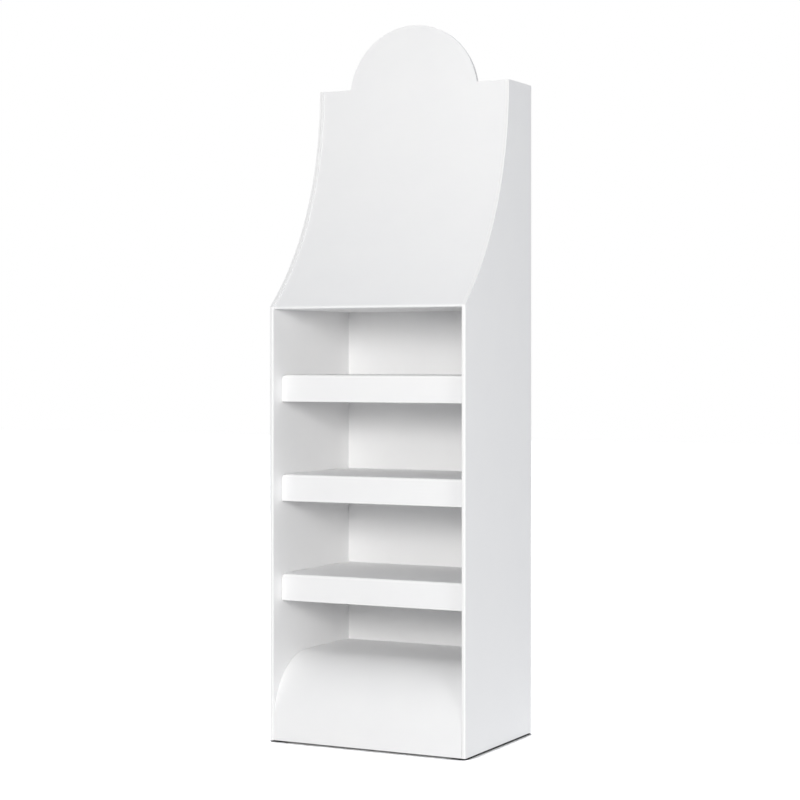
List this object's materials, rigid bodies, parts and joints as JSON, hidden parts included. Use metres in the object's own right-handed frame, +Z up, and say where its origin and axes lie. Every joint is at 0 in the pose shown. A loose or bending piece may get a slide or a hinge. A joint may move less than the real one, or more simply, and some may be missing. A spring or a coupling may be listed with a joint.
{
  "type": "cardboard display stand",
  "caption": "Free-standing folded cardboard floor display with doubled side walls, tray shelves, a rounded base and a curved header with a half-round crest.",
  "frame": {"origin": "on the floor under the middle of the footprint", "axes": "+Z up, +X to the right as seen from the front, +Y from the open front to the back panel"},
  "size_m": [0.45, 0.332, 1.503],
  "materials": {
    "coated_board": "white clay-coated liner, matt to satin"
  },
  "bodies": {
    "root": {"body_wrap": "coated_board", "header": "coated_board", "header_backer": "coated_board", "shelf_lower": "coated_board", "shelf_middle": "coated_board", "shelf_upper": "coated_board", "base_front": "coated_board"}
  },
  "joints": []
}
